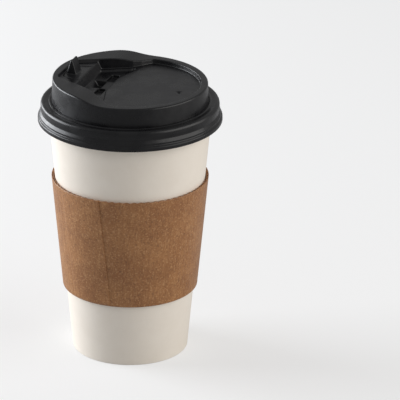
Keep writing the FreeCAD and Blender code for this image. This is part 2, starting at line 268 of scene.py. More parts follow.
def level_line(ring: Array, level: float, angles: Array) -> Array:
    """Line at a signed distance from an outline, found along rays from the lid's centre.

    Args:
        ring: Corners of the outline.
        level: Signed distance of the line.
        angles: Ray angles in radians.

    Returns:
        One point per ray.
    """
    low = np.zeros(len(angles))
    high = np.full(len(angles), REACH)
    rays = np.stack([np.cos(angles), np.sin(angles)], axis=1)
    for _ in range(22):
        middle = (low + high) / 2
        outside = signed_distance(rays * middle[:, None], ring) > level
        high = np.where(outside, middle, high)
        low = np.where(outside, low, middle)
    return rays * high[:, None]


def even_ring(ring: Array, count: int) -> Array:
    """The same closed outline with evenly spaced points.

    Args:
        ring: Corners of the outline.
        count: Number of points wanted.

    Returns:
        The points, the first one kept in place.
    """
    closed = np.vstack([ring, ring[:1]])
    steps = np.linalg.norm(np.diff(closed, axis=0), axis=1)
    length = np.concatenate([[0.0], np.cumsum(steps)])
    at = np.linspace(0, length[-1], count, endpoint=False)
    return np.stack([np.interp(at, length, closed[:, k]) for k in range(2)], axis=1)


# Meshes


@dataclass
class Surface:
    """Points and faces of one piece while it is being made, in millimetres."""

    points: list[Array] = field(default_factory=list)
    faces: list[Array] = field(default_factory=list)
    places: list[Array] = field(default_factory=list)
    count: int = 0

    def add(self, points: Array, faces: Array, places: Array | None = None) -> None:
        """Add faces given by their own points.

        Args:
            points: The points.
            faces: Array of corner numbers, one row per face.
            places: Texture place of every corner, or None.
        """
        self.points.append(points)
        self.faces.append(faces + self.count)
        self.places.append(np.zeros(faces.shape + (2,)) if places is None else places)
        self.count += len(points)

    def skin(self, rows: Array, round_again: bool = True, across: Array | None = None,
             along: Array | None = None) -> None:
        """Add quads between neighbouring rows.

        Args:
            rows: Array of rows, each an array of points.
            round_again: Whether each row closes on itself.
            across: Texture place of each column, one more than there are columns in a closed row.
            along: Texture place of each row.
        """
        count, wide = rows.shape[:2]
        i, j = np.meshgrid(np.arange(count - 1), np.arange(wide if round_again else wide - 1), indexing="ij")
        k = (j + 1) % wide
        faces = np.stack([i * wide + j, i * wide + k, (i + 1) * wide + k, (i + 1) * wide + j], axis=-1)
        places = None
        if across is not None and along is not None:
            sideways = across[np.stack([j, j + 1, j + 1, j], -1)]
            upwards = along[np.stack([i, i, i + 1, i + 1], -1)]
            places = np.stack([sideways, upwards], -1).reshape(-1, 4, 2)
        self.add(rows.reshape(-1, 3), faces.reshape(-1, 4), places)

    def fill(self, edge: Array, height: float | Callable[[Array], Array],
             holes: Sequence[Array] = (), inner: Sequence[Array] = (),
             lines: Sequence[Array] = ()) -> None:
        """Fill an outline seen from above with triangles.

        Args:
            edge: Outer outline.
            height: Height of its points, or a function that gives each point's height.
            holes: Outlines left open.
            inner: Extra points inside.
            lines: Open runs that triangle edges must follow.
        """
        points: list[Vector] = []
        edges: list[tuple[int, int]] = []
        for k, run in enumerate((edge, *holes, *lines)):
            base, count = len(points), len(run)
            points.extend(Vector(p) for p in run)
            sides = count if k <= len(holes) else count - 1
            edges.extend((base + i, base + (i + 1) % count) for i in range(sides))
        points.extend(Vector(p) for p in inner)
        found = delaunay_2d_cdt(points, edges, [], 1, 1e-5)
        flat = np.array([tuple(p) for p in found[0]])
        faces = np.array([tuple(f) for f in found[2]])
        middle = flat[faces].mean(axis=1)
        keep = np.ones(len(faces), dtype=bool)
        for ring in holes:
            keep &= signed_distance(middle, ring) > 0
        self.add(lift(flat, height(flat) if callable(height) else height), faces[keep])

    def make(self, name: str, turn: float = 0.0, weld: float = 0.002) -> Object:
        """Make the Blender object.

        Args:
            name: Name of the piece.
            turn: Angle in degrees that the piece is turned by about Z.
            weld: Distance under which points become one.

        Returns:
            The object, smooth shaded.
        """
        flat = np.vstack(self.points)
        a = math.radians(turn)
        spin = np.array([[math.cos(a), math.sin(a), 0], [-math.sin(a), math.cos(a), 0], [0, 0, 1]])
        flat = flat @ spin * MM
        rows = [tuple(f) for block in self.faces for f in block]
        mesh = bpy.data.meshes.new(name)
        mesh.from_pydata([tuple(p) for p in flat], [], rows)
        layer = mesh.uv_layers.new(name="around")
        layer.data.foreach_set("uv", np.concatenate([p.reshape(-1) for p in self.places]))
        bm = bmesh.new()
        bm.from_mesh(mesh)
        bmesh.ops.remove_doubles(bm, verts=bm.verts, dist=weld * MM)
        bmesh.ops.dissolve_degenerate(bm, edges=bm.edges, dist=weld * MM / 4)
        bm.to_mesh(mesh)
        bm.free()
        mesh.polygons.foreach_set("use_smooth", [True] * len(mesh.polygons))
        mesh.update()
        piece = bpy.data.objects.new(name, mesh)
        bpy.context.scene.collection.objects.link(piece)
        return piece


def seat(piece: Object, body: Body, node: str, coat: Material) -> None:
    """Put a piece on its body in place of a plain solid, with its finish.

    Args:
        piece: The piece.
        body: Body that it rides on.
        node: Name of the solid that it stands for.
        coat: Its material.
    """
    piece.data.materials.append(coat)
    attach(piece, body.value)
    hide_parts(node)
    log.info("%s: %d faces on %s", piece.name, len(piece.data.polygons), body.value)


def thicken(piece: Object, thickness: float) -> Object:
    """Give a formed sheet its thickness on the inner side, and even shading over its bends.

    Args:
        piece: The sheet's outer surface.
        thickness: Thickness in millimetres.

    Returns:
        The same piece.
    """
    sheet = piece.modifiers.new("sheet", "SOLIDIFY")
    sheet.thickness = thickness * MM
    sheet.offset = -1
    even = piece.modifiers.new("even_shade", "WEIGHTED_NORMAL")
    even.keep_sharp = True
    even.weight = 60
    return piece


# Node trees


class Bench:
    """Places and links the nodes of one tree."""

    def __init__(self, tree: Tree) -> None:
        """Start on a tree, which is emptied."""
        self.tree = tree
        tree.nodes.clear()
        self.step = 0

    def put(self, kind: str, sockets: dict[str | int, Any] | None = None, **settings: Any) -> Node:
        """Add a node.

        Args:
            kind: The node's type.
            sockets: Values or sockets for its inputs, by name or number.
            settings: Properties of the node.

        Returns:
            The node.
        """
        node = self.tree.nodes.new(kind)
        node.location = (self.step % 8 * 220, -(self.step // 8) * 320)
        self.step += 1
        for key, value in settings.items():
            setattr(node, key, value)
        for key, value in (sockets or {}).items():
            if isinstance(value, Socket):
                self.tree.links.new(value, node.inputs[key])
            else:
                node.inputs[key].default_value = value
        return node

    def dress(self, sockets: dict[str | int, Any]) -> None:
        """Add the surface's shader with its inputs, and the output."""
        shader = self.put("ShaderNodeBsdfPrincipled", sockets)
        self.put("ShaderNodeOutputMaterial", {0: shader.outputs[0]})

    def sum(self, kind: str, *values: Any) -> Socket:
        """Add a math node of a kind with its operands, and give its result."""
        return self.put("ShaderNodeMath", dict(enumerate(values)), operation=kind).outputs[0]

    def blend(self, share: Any, low: Any, high: Any) -> Socket:
        """Mix two colours by the share of the second, and give the mixed one."""
        return self.put("ShaderNodeMix", {0: share, 6: low, 7: high}, data_type="RGBA").outputs[2]

    def bump(self, height: Any, strength: float, relief: float) -> Socket:
        """Add a bump of some strength and relief, and give its normal."""
        sockets = {"Strength": strength, "Distance": relief, "Height": height}
        return self.put("ShaderNodeBump", sockets).outputs[0]

    def noise(self, place: Any, scale: Any, detail: float, rough: float = 0.5) -> Socket:
        """Add soft noise with a number of finer layers and their strength, and give its value."""
        sockets = {"Vector": place, "Scale": scale, "Detail": detail, "Roughness": rough}
        return self.put("ShaderNodeTexNoise", sockets).outputs[0]

    def spread(self, value: Any, low: float, high: float, to_low: float = 0.0,
               to_high: float = 1.0) -> Socket:
        """Map a value smoothly from one range to another, and give the result."""
        sockets = {0: value, 1: low, 2: high, 3: to_low, 4: to_high}
        return self.put("ShaderNodeMapRange", sockets, interpolation_type="SMOOTHSTEP").outputs[0]


def new_group(name: str, inputs: dict[str, str], *outputs: str) -> tuple[Bench, Any]:
    """Start a node group.

    Args:
        name: The group's name.
        inputs: Kind of each input, by name.
        outputs: Names of the values that it puts out.

    Returns:
        The bench and the outputs of the group's input node.
    """
    tree = bpy.data.node_groups.new(name, "ShaderNodeTree")
    for label, kind in inputs.items():
        tree.interface.new_socket(label, in_out="INPUT", socket_type="NodeSocket" + kind)
    for label in outputs:
        tree.interface.new_socket(label, in_out="OUTPUT", socket_type="NodeSocketFloat")
    bench = Bench(tree)
    return bench, bench.put("NodeGroupInput").outputs


def fibre_group() -> Tree:
    """Paper fibres that lie in three directions, as a group with a Fibres mask and a Height."""
    inputs = {"Place": "Vector", "Scale": "Float", "Thinness": "Float"}
    bench, given = new_group("paper_fibres", inputs, "Fibres", "Height")
    masks = []
    for turn, stretch in ((0.5, 9.0), (-0.9, 7.0), (1.9, 8.0)):
        spun = bench.put("ShaderNodeVectorRotate", {"Vector": given["Place"], "Angle": turn},
                         rotation_type="Z_AXIS")
        pulled = bench.put("ShaderNodeMapping", {"Vector": spun.outputs[0], "Scale": (stretch, 1.0, 1.0)})
        masks.append(bench.spread(bench.noise(pulled.outputs[0], given["Scale"], 2.0), 0.55, 0.78))
    both = bench.sum("MAXIMUM", bench.sum("MAXIMUM", masks[0], masks[1]), masks[2])
    thin = bench.sum("MULTIPLY", both, given["Thinness"])
    bench.put("NodeGroupOutput", {"Fibres": thin, "Height": both})
    return bench.tree


def mottle_group() -> Tree:
    """Soft unevenness at two sizes, as a group with a Tone between 0 and 1 and a fine Grain."""
    inputs = {"Place": "Vector", "Scale": "Float", "Grain Scale": "Float"}
    bench, given = new_group("soft_mottle", inputs, "Tone", "Grain")
    broad = bench.noise(given["Place"], given["Scale"], 4.0, 0.55)
    fine = bench.noise(given["Place"], given["Grain Scale"], 2.0)
    bench.put("NodeGroupOutput", {"Tone": bench.spread(broad, 0.3, 0.7), "Grain": fine})
    return bench.tree


@dataclass
class Groups:
    """Node groups that the finishes share."""

    fibres: Tree = field(default_factory=fibre_group)
    mottle: Tree = field(default_factory=mottle_group)

    def weave(self, bench: Bench, place: Socket, scale: float, thinness: float) -> Any:
        """Add the fibres to a material, and give what the group puts out."""
        sockets = {"Place": place, "Scale": scale, "Thinness": thinness}
        return bench.put("ShaderNodeGroup", sockets, node_tree=self.fibres).outputs

    def cloud(self, bench: Bench, place: Socket, scale: float, grain: float) -> Any:
        """Add the unevenness to a material, and give what the group puts out."""
        sockets = {"Place": place, "Scale": scale, "Grain Scale": grain}
        return bench.put("ShaderNodeGroup", sockets, node_tree=self.mottle).outputs


def start_material(name: str) -> tuple[Material, Bench, Socket]:
    """Start a material.

    Args:
        name: The material's name.

    Returns:
        The material, its bench and the place on the object.
    """
    material = bpy.data.materials.new(name)
    material.use_nodes = True
    bench = Bench(material.node_tree)
    return material, bench, bench.put("ShaderNodeTexCoord").outputs["Object"]


@dataclass(frozen=True)
class CoatedBoard:
    """White cup board with a thin coating, faintly fibrous."""

    bright: Colour = (0.885, 0.815, 0.725)
    dull: Colour = (0.845, 0.77, 0.675)
    roughness: Pair = (0.41, 0.53)
    relief: float = 0.00003
    fibre_scale: float = 260.0
    tone_scale: float = 90.0
    grain_scale: float = 2600.0
    index: float = 1.47
    gloss: float = 0.35

    def material(self, groups: Groups) -> Material:
        """Make the material.

        Args:
            groups: The shared node groups.

        Returns:
            The material.
        """
        material, bench, place = start_material("coated_white_board")
        fibres = groups.weave(bench, place, self.fibre_scale, 0.5)
        mottle = groups.cloud(bench, place, self.tone_scale, self.grain_scale)
        share = bench.sum("MULTIPLY", mottle["Tone"], 0.55)
        share = bench.sum("ADD", share, bench.sum("MULTIPLY", fibres["Fibres"], 0.35))
        height = bench.sum("ADD", bench.sum("MULTIPLY", fibres["Height"], 0.5), mottle["Grain"])
        bench.dress({
            "Base Color": bench.blend(share, (*self.bright, 1), (*self.dull, 1)),
            "Roughness": bench.spread(mottle["Grain"], 0.3, 0.7, *self.roughness),
            "Normal": bench.bump(height, 0.35, self.relief),
            "IOR": self.index, "Specular IOR Level": self.gloss})
        return material


@dataclass(frozen=True)
class KraftBoard:
    """Uncoated brown kraft with fibres, specks and faint lines over the flutes."""

    warm: Colour = (0.385, 0.178, 0.066)
    deep: Colour = (0.285, 0.120, 0.043)
    pale: Colour = (0.56, 0.32, 0.150)
    fleck: Colour = (0.16, 0.075, 0.035)
    flutes: int = 68
    streaks: Pair = (420.0, 7.0)
    roughness: Pair = (0.36, 0.50)
    relief: float = 0.00008
    fibre_scale: float = 210.0
    tone_scale: float = 75.0
    grain_scale: float = 2300.0
    speck_scale: float = 1150.0
    dark_specks: tuple[float, ...] = (0.53, 0.72, 0.0, 0.62)
    pale_specks: tuple[float, ...] = (0.46, 0.28, 0.0, 0.60)
    index: float = 1.5
    gloss: float = 0.5

    def material(self, groups: Groups) -> Material:
        """Make the material.

        Args:
            groups: The shared node groups.

        Returns:
            The material.
        """
        material, bench, place = start_material("brown_kraft")
        fibres = groups.weave(bench, place, self.fibre_scale, 0.8)
        mottle = groups.cloud(bench, place, self.tone_scale, self.grain_scale)
        colour = bench.blend(mottle["Tone"], (*self.warm, 1), (*self.deep, 1))
        colour = bench.blend(bench.sum("MULTIPLY", fibres["Fibres"], 0.45), colour, (*self.pale, 1))
        around = bench.put("ShaderNodeSeparateXYZ", {
            0: bench.put("ShaderNodeUVMap", uv_map="around").outputs[0]}).outputs
        wave = bench.sum("COSINE", bench.sum("MULTIPLY", around[0], 2 * math.pi * self.flutes))
        streak = bench.put("ShaderNodeCombineXYZ", {
            k: bench.sum("MULTIPLY", around[k], self.streaks[k]) for k in range(2)})
        lines = bench.noise(streak.outputs[0], 1.0, 3.0)
        lined = bench.sum("MULTIPLY", bench.spread(lines, 0.35, 0.75), 0.28)
        lined = bench.sum("ADD", lined, bench.spread(wave, 0.2, 1.0, 0.0, 0.10))
        colour = bench.blend(lined, colour, (*self.deep, 1))
        specks = bench.noise(place, self.speck_scale, 2.0)
        colour = bench.blend(bench.spread(specks, *self.dark_specks), colour, (*self.fleck, 1))
        colour = bench.blend(bench.spread(specks, *self.pale_specks), colour, (*self.pale, 1))
        height = bench.sum("ADD", bench.sum("MULTIPLY", fibres["Height"], 0.6), mottle["Grain"])
        height = bench.sum("ADD", height, bench.sum("MULTIPLY", wave, 0.15))
        bench.dress({
            "Base Color": colour,
            "Roughness": bench.spread(mottle["Grain"], 0.3, 0.7, *self.roughness),
            "Normal": bench.bump(height, 0.55, self.relief),
            "IOR": self.index, "Specular IOR Level": self.gloss})
        return material


@dataclass(frozen=True)
class BlackSheet:
    """Thermoformed black plastic with a satin surface."""

    black: Colour = (0.0045, 0.0045, 0.0055)
    dusty: Colour = (0.0080, 0.0080, 0.0090)
    roughness: Pair = (0.26, 0.36)
    relief: float = 0.00004
    tone_scale: float = 130.0
    grain_scale: float = 1700.0
    index: float = 1.5
    gloss: float = 0.36

    def material(self, groups: Groups) -> Material:
        """Make the material.

        Args:
            groups: The shared node groups.

        Returns:
            The material.
        """
        material, bench, place = start_material("black_formed_sheet")
        mottle = groups.cloud(bench, place, self.tone_scale, self.grain_scale)
        bench.dress({
            "Base Color": bench.blend(mottle["Tone"], (*self.black, 1), (*self.dusty, 1)),
            "Roughness": bench.spread(mottle["Tone"], 0.0, 1.0, *self.roughness),
            "Normal": bench.bump(mottle["Grain"], 0.3, self.relief),
            "IOR": self.index, "Specular IOR Level": self.gloss})
        return material


# Sub-assemblies


@dataclass
class PaperCup:
    """Tapered paper cup: wall with rolled rim and turned-in hem, and a bottom disc."""

    height: float = 134.23
    base_radius: float = 29.7
    taper: float = 0.0935
    paper: float = 0.38
    roll_radius: float = 1.5
    roll_turn: float = 305.0
    hem_height: float = 7.4
    glue_line: float = 0.03
    fold: float = 0.4
    seam_lap: float = 7.0
    seam_azimuth: float = 72.0
    seam_end_gap: float = 1.2
    seam_fade: float = 2.5
    board: float = 0.42
    skirt_foot: float = 1.6
    corner: float = 1.0
    columns: int = 300

    def radius(self, z: float | Array, depth: float = 0.0) -> float | Array:
        """Radius of the outer face at a height, less a depth into the board."""
        return self.base_radius + self.taper * z - depth

    def seam_turns(self) -> Pair:
        """Degrees that the seam's lap takes up, and degrees over which it fades."""
        middle = self.radius(self.height / 2)
        return math.degrees(self.seam_lap / middle), math.degrees(self.seam_fade / middle)

    def azimuths(self) -> Array:
        """Azimuths round the cup in radians, close together at the seam's edges."""
        even = np.linspace(0, 360, self.columns, endpoint=False)
        sweep, fade = self.seam_turns()
        extra = [self.seam_azimuth + d for d in (-0.06, 0.0, 0.10, 0.25, 0.5)]
        extra += [self.seam_azimuth + sweep - fade * (1 - k / 6) for k in range(7)]
        return np.radians(np.unique(np.round(np.concatenate([even, extra]), 4)))

    def lap(self, angles: Array, z: float) -> Array:
        """How far the outer layer of the lapped seam stands out.

        Args:
            angles: Azimuths in radians.
            z: Height.

        Returns:
            Amounts to add to the radius.
        """
        sweep, fade = self.seam_turns()
        at = (np.degrees(angles) - self.seam_azimuth) % 360
        edge = np.clip(at / 0.10, 0, 1) * (at < 180)
        far = np.clip((sweep - at) / fade, 0, 1)
        end = self.height - 2 * self.roll_radius - self.seam_end_gap
        upright = np.clip((end - z) / 1.5, 0, 1) * np.clip((z - self.fold) / self.seam_end_gap, 0, 1)
        return self.paper * edge * far * far * (3 - 2 * far) * upright

    def wall(self) -> Surface:
        """Wall, rolled rim and hem as one closed strip.

        Returns:
            The surface.
        """
        lean = math.degrees(math.atan(self.taper))
        hem = 2 * self.paper + self.board + 2 * self.glue_line
        centre_z = self.height - self.roll_radius
        centre_r = self.radius(centre_z, self.paper) + self.roll_radius / math.cos(math.radians(lean))
        start, end = 180 - lean, 180 - lean - self.roll_turn
        face = [(self.radius(z), z) for z in np.linspace(self.fold + 0.2, centre_z - 0.6, 22)]
        curl_in = bow((centre_r, centre_z), self.roll_radius - self.paper, start, end, 30)
        curl_out = bow((centre_r, centre_z), self.roll_radius, end, start, 34)
        inside = [(self.radius(z, self.paper), z) for z in (centre_z - 1.5, 100.0, 60.0, 20.0, self.paper)]
        pocket = [(self.radius(self.paper, hem - self.paper), self.paper),
                  (self.radius(self.hem_height, hem - self.paper), self.hem_height),
                  (self.radius(self.hem_height, hem), self.hem_height)]
        foot = [*bow((self.radius(self.fold, hem - self.fold), self.fold), self.fold, -180, -90, 5),
                *bow((self.radius(self.fold, self.fold), self.fold), self.fold, -90, 0, 5)]
        section = np.array([*face, *curl_in, *curl_out, *inside, *pocket, *foot, face[0]])
        angles = self.azimuths()
        rows = turned(section, angles)
        for k, (r, z) in enumerate(face):
            rows[k] = ring_row(r + self.lap(angles, z), angles, z)
        rows[-1] = rows[0]
        surface = Surface()
        surface.skin(rows, True, turn_shares(angles), section[:, 1] / 100)
        return surface

    def bottom(self) -> Surface:
        """Bottom disc with its skirt turned down into the hem.

        Returns:
            The surface.
        """
        gap = self.paper + self.glue_line
        top = self.hem_height + self.corner
        centre = (self.radius(self.hem_height, gap) - self.corner, self.hem_height)
        outer = bow(centre, self.corner, 90, 0, 8)
        inner = bow(centre, self.corner - self.board, 0, 90, 8)
        skirt = [(self.radius(self.skirt_foot, gap), self.skirt_foot),
                 (self.radius(self.skirt_foot, gap + self.board), self.skirt_foot)]
        disc = [(r, top) for r in (0.001, 9.0, 18.0, 26.0)]
        under = [(r, top - self.board) for r in (26.0, 18.0, 9.0, 0.001)]
        section = np.array(disc + list(outer) + skirt + list(inner) + under)[::-1]
        surface = Surface()
        angles = full_turn(180)
        surface.skin(turned(section, angles), True, turn_shares(angles), section[:, 0] / 100)
        return surface

    def build(self, board: Material) -> None:
        """Make both pieces and dress them in cup board."""
        seat(self.wall().make("cup_shell"), Body.CUP, "cup_wall", board)
        seat(self.bottom().make("cup_bottom_disc"), Body.CUP, "cup_bottom", board)


@dataclass
class Sleeve:
    """Single-face corrugated kraft ring with a glued flap."""

    cup: PaperCup
    foot: float = 34.6
    height: float = 59.6
    slack: float = 0.42
    liner: float = 0.34
    flute_depth: float = 1.05
    medium: float = 0.24
    medium_inset: float = 0.05
    edge_soft: float = 0.06
    flutes: int = 68
    per_flute: int = 12
    washboard: float = 0.035
    flap_board: float = 0.36
    flap_width: float = 23.0
    flap_low_azimuth: float = 253.0
    flap_high_azimuth: float = 246.5
    flap_rise: float = 0.9
    flap_top: float = 0.25
    flap_sink: float = 0.12
    flap_soft: float = 0.05

    def band(self, angles: Array, edges: Pair, inner: float | Array,
             outer: Array) -> Array:
        """Closed sheet between two depths that follows the taper.

        Args:
            angles: Azimuths in radians.
            edges: Heights of the lower and the upper edge.
            inner: Inner face's distance from the cup wall.
            outer: Outer face's distance from the cup wall.

        Returns:
            Rows of points, up the outer face and down the inner one.
        """
        levels = edged_levels(12)
        depths = [outer - self.edge_soft * (share in (0, 1)) for share in levels]
        rows = []
        for share, depth in zip([*levels, 1.0, 0.0, 0.0], [*depths, inner, inner, depths[0]]):
            z = edges[0] + (edges[1] - edges[0]) * share
            rows.append(ring_row(self.cup.radius(z) + depth, angles, z))
        return np.array(rows)

    def ring(self) -> Surface:
        """Liner and fluted medium, with the flap.

        Returns:
            The surface.
        """
        angles = full_turn(self.flutes * self.per_flute)
        low, high = self.foot, self.foot + self.height
        glue = self.slack + self.flute_depth
        wave = 0.5 + 0.5 * np.cos(angles * self.flutes)
        crest = self.slack + (self.flute_depth - self.medium) * wave
        along = np.array([*edged_levels(12), 1.0, 0.0, 0.0]) * self.height / 100
        surface = Surface()
        for edges, inner, outer in (
                ((low, high), glue, glue + self.liner - self.washboard * (1 - wave)),
                ((low + self.medium_inset, high - self.medium_inset), crest, crest + self.medium)):
            surface.skin(self.band(angles, edges, inner, outer), True, turn_shares(angles), along)
        self.flap(surface)
        return surface

    def flap(self, surface: Surface) -> None:
        """Outer end of the blank, lying over the inner end.

        Args:
            surface: Surface that it is added to.
        """
        share = np.concatenate([[0.0, 0.004], np.linspace(0.012, 1, 80)])
        sweep = math.degrees(self.flap_width / self.cup.radius(self.foot + self.height / 2))
        levels = edged_levels(15)
        rise = self.flap_rise * (1 - share) ** 0.5
        board = self.flap_board * (1 - share) ** 0.8 * (0.9 + 0.1 * np.clip(share / 0.004, 0, 1))
        under = self.slack + self.flute_depth + self.liner - self.flap_sink
        over = under + self.flap_sink + 0.005 + board

        def line(level: float, out: float | Array) -> Array:
            """Row of points at a share of the height, some way out from the cup wall."""
            edge = self.flap_low_azimuth + (self.flap_high_azimuth - self.flap_low_azimuth) * level
            z = self.foot + rise + (self.height + self.flap_top - rise) * level
            z = z - self.flap_top * level * share
            return ring_row(self.cup.radius(z) + out, np.radians(edge - sweep * share), z)[::-1]
        outer = np.array([line(level, over - self.flap_soft * (level in (0, 1))) for level in levels])
        inner = np.array([line(level, under) for level in levels])
        around = np.radians(self.flap_high_azimuth - sweep * share)[::-1] / (2 * math.pi)
        along = levels * self.height / 100
        surface.skin(outer, False, around, along)
        surface.skin(inner[::-1], False, around, along)
        for rows, height in (((outer[-1], inner[-1]), 0.6), ((inner[0], outer[0]), 0.0)):
            surface.skin(np.array(rows), False, around, np.array([height, height + 0.005]))
        ends = (((inner[:, -1], outer[:, -1]), around[-1]), ((outer[:, 0], inner[:, 0]), around[0]))
        for rows, place in ends:
            surface.skin(np.array(rows), False, along, np.array([place, place + 0.001]))

    def build(self, kraft: Material) -> None:
        """Make the sleeve and dress it in kraft board."""
        seat(self.ring().make("kraft_sleeve", weld=0.0005), Body.CUP, "sleeve", kraft)


@dataclass
class Lid:
    """Formed lid: skirt, ledge, dome, sunk recess and the tab that folds back."""

    mouth_azimuth: float = 160.0
    sheet: float = 0.42
    ledge_top: float = 135.0
    lip_radius: float = 47.1
    lip_drop: float = 10.2
    lip_band: float = 1.9
    neck_radius: float = 46.15
    bead_radius: float = 46.35
    bead_drop: float = 6.5
    snap_radius: float = 45.437
    snap_drop: float = 4.9
    ledge_radius: float = 45.587
    ledge_drop: float = 3.0
    shoulder: float = 1.7
    press: float = 0.7
    dome_foot: float = 40.1
    ring_width: float = 1.1
    ring_rise: float = 0.4
    dish: float = 0.25
    draft: float = 3.0
    rim_round: float = 0.9
    back_rim: float = 144.9
    mouth_rim: float = 147.55
    climb_end: float = 20.0
    plateau: float = 142.57
    plateau_radius: float = 34.3
    plateau_shift: float = 1.8
    plateau_edge: float = 3.7
    fan: tuple[Pair, ...] = ((35.0, 12.0), (8.0, 26.0), (4.0, 29.3), (0.0, 34.0))
    channel: float = 146.07
    well_floor: float = 141.07
    step_at: float = 9.8
    step_drop: float = 0.5
    well_end: float = 21.9
    well_step_half: float = 9.0
    well_tip: float = 5.0
    well_brim: float = 2.2
    hinge_at: float = 24.0
    tab_end: float = 34.2
    tab_root_half: float = 10.2
    tab_end_half: float = 7.6
    tab_corner: float = 3.0
    slit: float = 0.25
    crease: float = 0.06
    stud_at: float = 30.5
    stud_length: float = 7.6
    stud_foot: float = 5.4
    stud_ridge: float = 0.9
    stud_height: float = 7.4
    stud_crown: float = 0.32
    stud_round: float = 0.55
    stud_steep: float = 72.0
    pocket_play: float = 0.55
    pocket_draft: float = 0.6
    pocket_floor: float = 138.24
    pocket_round: float = 0.4
    pocket_steep: float = 75.0
    pocket_corner: float = 0.9
    finger_length: float = 10.0
    finger_width: float = 4.2
    finger_depth: float = 1.7
    finger_offset: float = 10.3
    finger_gap: float = 1.2
    vent_at: float = 26.5
    vent_side: float = 0.5
    vent_radius: float = 0.6
    vent_dimple: float = 1.6
    vent_depth: float = 0.45
    wall_round: float = 0.5
    wall_steep: float = 84.0
    wall_lean: float = 0.25
    plan_round: float = 2.4
    well_ease: float = 0.42
    columns: int = 400
    wall_columns: int = 560

    def rim_level(self, t: Array) -> Array:
        """Height of the rim's surface, which climbs in an S towards the mouth.

        Args:
            t: Distances from the lid's centre towards the mouth.

        Returns:
            Heights.
        """
        run, rise = self.climb_end, self.mouth_rim - self.back_rim
        bend = (run * run + rise * rise) / (4 * rise)
        t = np.clip(t, 0, run)
        low = self.back_rim + bend - np.sqrt(bend ** 2 - np.minimum(t, run / 2) ** 2)
        high = self.mouth_rim - bend + np.sqrt(bend ** 2 - np.minimum(run - t, run / 2) ** 2)
        return np.where(t < run / 2, low, high)

    def brim_run(self) -> Array:
        """Profile of the plateau, the slope and the brim of the well along the mouth direction.

        Returns:
            Points as (distance, height).
        """
        brim = self.plateau - self.step_drop
        wall = self.hinge_at - self.slit / 2
        share = (brim - self.well_floor) / (self.channel - self.well_floor)
        start = self.well_end + (wall - self.well_end) * share
        return rounded_run([
            (-60.0, self.plateau, 0), (self.plateau_edge, self.plateau, 1.5), (self.step_at, brim, 3.0),
            (start, brim, 0.5), (wall, self.channel, 0.5), (60.0, self.channel, 0)])

    def well_run(self) -> Array:
        """Profile of the well's floor and front wall, as (distance, height) along the mouth direction."""
        return rounded_run([(-60.0, self.well_floor, 0), (self.well_end, self.well_floor, 0.6),
                            (self.hinge_at - self.slit / 2, self.channel, 0.5), (60.0, self.channel, 0)])

    def well_plan(self, grow: float) -> Array:
        """Outline of the well seen from above.

        Args:
            grow: How far outside its edge.

        Returns:
            Points, anticlockwise.
        """
        (mouth, narrow), (knee, wide) = self.fan[:2]
        front = wide + (narrow - wide) * (self.hinge_at - knee) / (mouth - knee)
        half = [(self.hinge_at, front - self.well_brim, 1.0), (knee, wide - self.well_brim, 2.5),
                (self.well_tip, wide, 0.9), (self.step_at, self.well_step_half, 5.0)]
        return rounded_ring(half + [(x, -y, r) for x, y, r in reversed(half)], grow)

    def floor_level(self, plan: Array) -> Array:
        """Height of the recess's floor.

        Args:
            plan: Points seen from above.

        Returns:
            Heights.
        """
        brim, well = self.brim_run(), self.well_run()
        high = np.interp(plan[:, 0], brim[:, 0], brim[:, 1])
        low = np.minimum(np.interp(plan[:, 0], well[:, 0], well[:, 1]), high)
        inside = np.clip(0.5 - signed_distance(plan, self.well_plan(0.0)) / (2 * self.well_ease), 0, 1)
        return high + (low - high) * inside * inside * (3 - 2 * inside)

    def recess_ring(self) -> Array:
        """Outline of the recess seen from above, shrunk so that its corners come out round.

        Returns:
            Corners of the shrunk outline.
        """
        angles = full_turn(RAYS)
        rays = np.stack([np.cos(angles), np.sin(angles)], 1)
        corners = [np.array(c) for c in self.fan] + [np.array((x, -y)) for x, y in reversed(self.fan)]
        reach = np.zeros(len(angles))
        for a, b in zip(corners, corners[1:] + corners[:1]):
            run = b - a
            cross = rays[:, 0] * run[1] - rays[:, 1] * run[0]
            with np.errstate(divide="ignore", invalid="ignore"):
                far = (a[0] * run[1] - a[1] * run[0]) / cross
                share = (a[0] * rays[:, 1] - a[1] * rays[:, 0]) / cross
            hit = (far > 0) & (share >= 0) & (share <= 1)
            reach = np.where(hit, np.maximum(reach, far), reach)
        b = rays[:, 0] * self.plateau_shift
        disc = -b + np.sqrt(b * b - self.plateau_shift ** 2 + self.plateau_radius ** 2)
        disc = np.where(rays[:, 0] * disc < 0, disc, 0)
        whole = rays * np.maximum(reach, disc)[:, None]
        return level_line(whole, -self.plan_round, angles)

    def rim_circle(self, angles: Array, across: float) -> tuple[Array, Array]:
        """Points of the round between the dome wall and the rim's surface.

        Args:
            angles: Azimuths from the mouth, in radians.
            across: Angle round the bend in degrees, 0 at the rim's surface.

        Returns:
            Radii and heights.
        """
        lean = math.tan(math.radians(self.draft))
        r = np.full(len(angles), self.dome_foot - 1.5)
        for _ in range(4):
            level = self.rim_level(r * np.cos(angles))
            outer = self.dome_foot - lean * (level - self.rim_round - self.ledge_top)
            centre = outer - self.rim_round * math.cos(math.radians(self.draft))
            r = centre + self.rim_round * math.sin(math.radians(across))
        drop = self.rim_round * (1 - math.cos(math.radians(across)))
        return r, self.rim_level(r * np.cos(angles)) - drop

